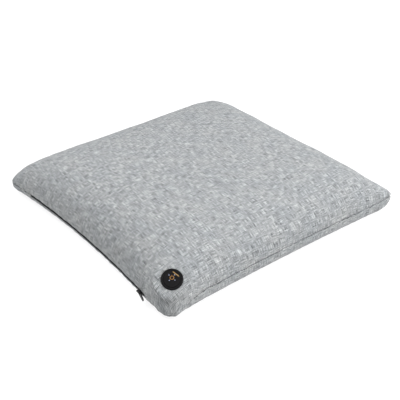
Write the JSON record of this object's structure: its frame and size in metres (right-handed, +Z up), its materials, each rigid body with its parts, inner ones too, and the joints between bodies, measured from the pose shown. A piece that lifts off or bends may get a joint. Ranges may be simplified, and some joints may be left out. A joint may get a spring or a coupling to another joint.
{
  "type": "heated kneeling pad",
  "caption": "Square padded pad with a domed grey woven cover, a zip along one edge and a round push button in one corner that switches a battery heater inside.",
  "frame": {"origin": "middle of the underside, on the surface the pad lies on", "axes": "+Z up out of the domed side, -X towards the zipped edge, -Y towards the plain edge beside the controller's corner"},
  "size_m": [0.4037, 0.3899, 0.0695],
  "materials": {
    "cover_cloth": "melange weave",
    "wadding": "soft white",
    "heater_felt": "needled felt",
    "reflector_foil": "bright foil",
    "heater_wire": "silicone",
    "splice": "moulded",
    "lead_sheath": "smooth",
    "thermostat": "moulded",
    "comfort_foam": "soft open foam",
    "base_foam": "firm closed foam",
    "sleeve_cloth": "woven",
    "battery_case": "moulded",
    "cell_wrap": "film",
    "circuit_board": "solder mask",
    "plated_steel": "plated",
    "plug_plastic": "moulded",
    "control_plastic": "fine matt",
    "cap_plastic": "soft touch",
    "amber_guide": "translucent",
    "clear_guide": "translucent",
    "plunger_plastic": "moulded",
    "led": "clear resin",
    "zip_tape": "black woven",
    "zip_coil": "nylon coil",
    "slider_metal": "black enamel"
  },
  "bodies": {
    "pad": {"cover_top_panel": "cover_cloth", "cover_bottom_panel": "cover_cloth", "wadding_layer": "wadding", "heater_felt_upper": "heater_felt", "heater_felt_lower": "heater_felt", "heat_reflector_foil": "reflector_foil", "heater_wire": "heater_wire", "heater_joint": "splice", "heater_lead": "lead_sheath", "battery_lead": "lead_sheath", "heater_thermostat": "thermostat", "comfort_foam_slab": "comfort_foam", "base_foam_slab": "base_foam", "battery_sleeve": "sleeve_cloth", "battery_case_lower": "battery_case", "battery_case_upper": "battery_case", "battery_cell_inner": "cell_wrap", "battery_cell_outer": "cell_wrap", "battery_circuit_board": "circuit_board", "control_circuit_board": "circuit_board", "battery_output_socket": "plated_steel", "control_switch_body": "plated_steel", "control_screw_left": "plated_steel", "control_screw_right": "plated_steel", "power_plug": "plug_plastic", "control_bezel": "control_plastic", "control_rear_shell": "control_plastic", "power_led": "led", "zip_tape_upper": "zip_tape", "zip_tape_lower": "zip_tape", "zip_coil_upper": "zip_coil", "zip_coil_lower": "zip_coil", "zip_near_stop": "zip_coil", "zip_far_stop": "zip_coil"},
    "button": {"control_button_cap": "cap_plastic", "power_light_guide": "amber_guide", "level_light_guide": "clear_guide", "control_switch_plunger": "plunger_plastic"},
    "zip_slider": {"zip_slider_body": "slider_metal"},
    "zip_pull": {"zip_pull_tab": "slider_metal"}
  },
  "joints": [
    {"name": "button_press", "type": "slide", "parent": "pad", "child": "button", "axis": [0.2901, 0.4252, -0.8574], "range_m": [0, 0.0006], "stiffness_N_per_m": 2500, "springref_m": -0.0003},
    {"name": "zip_slide", "type": "hinge", "parent": "pad", "child": "zip_slider", "pos_m": [-1.8054, 0.0134, 0.01745], "axis": [0, -0.0143, 0.9999], "range_deg": [0, 9.49]},
    {"name": "pull_swing", "type": "hinge", "parent": "zip_slider", "child": "zip_pull", "pos_m": [-0.19957, -0.13903, 0.01527], "axis": [0.0479, 0.251, -0.9668], "range_deg": [0, 165]}
  ]
}
